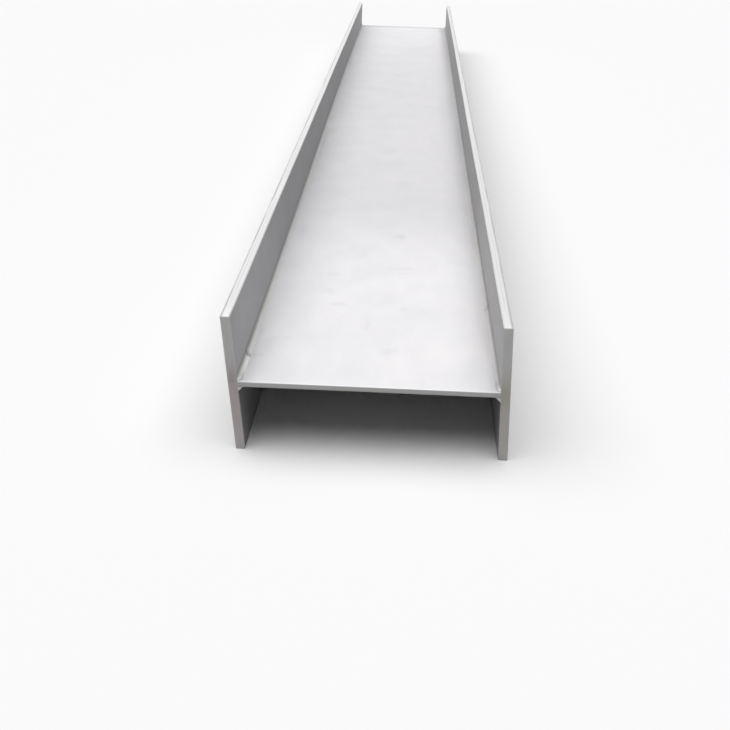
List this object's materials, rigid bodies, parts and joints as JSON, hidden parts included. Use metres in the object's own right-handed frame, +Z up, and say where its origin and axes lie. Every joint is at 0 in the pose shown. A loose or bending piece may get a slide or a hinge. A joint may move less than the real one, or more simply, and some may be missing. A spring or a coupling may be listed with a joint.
{
  "type": "welded stainless steel h-beam",
  "caption": "Straight H-section beam of stainless plate: a flat web between parallel flanges, joined by fillet welds and sawn square, for framing and structural work.",
  "frame": {"origin": "on the floor, under the middle of the beam", "axes": "+X across the section towards the right flange, +Y along the beam away from the viewer, +Z up"},
  "size_m": [0.3, 3, 0.15],
  "materials": {
    "stainless_plate": "hot rolled, annealed and pickled: matte silver white, faint rolling streaks and handling marks",
    "weld_metal": "as-laid weld bead, fine ripples, lightly brushed, with faint heat tint at the toes"
  },
  "bodies": {
    "root": {"web_plate": "stainless_plate", "flange_plate_left": "stainless_plate", "flange_plate_right": "stainless_plate", "fillet_weld_upper_left": "weld_metal", "fillet_weld_upper_right": "weld_metal", "fillet_weld_lower_left": "weld_metal", "fillet_weld_lower_right": "weld_metal"}
  },
  "joints": []
}
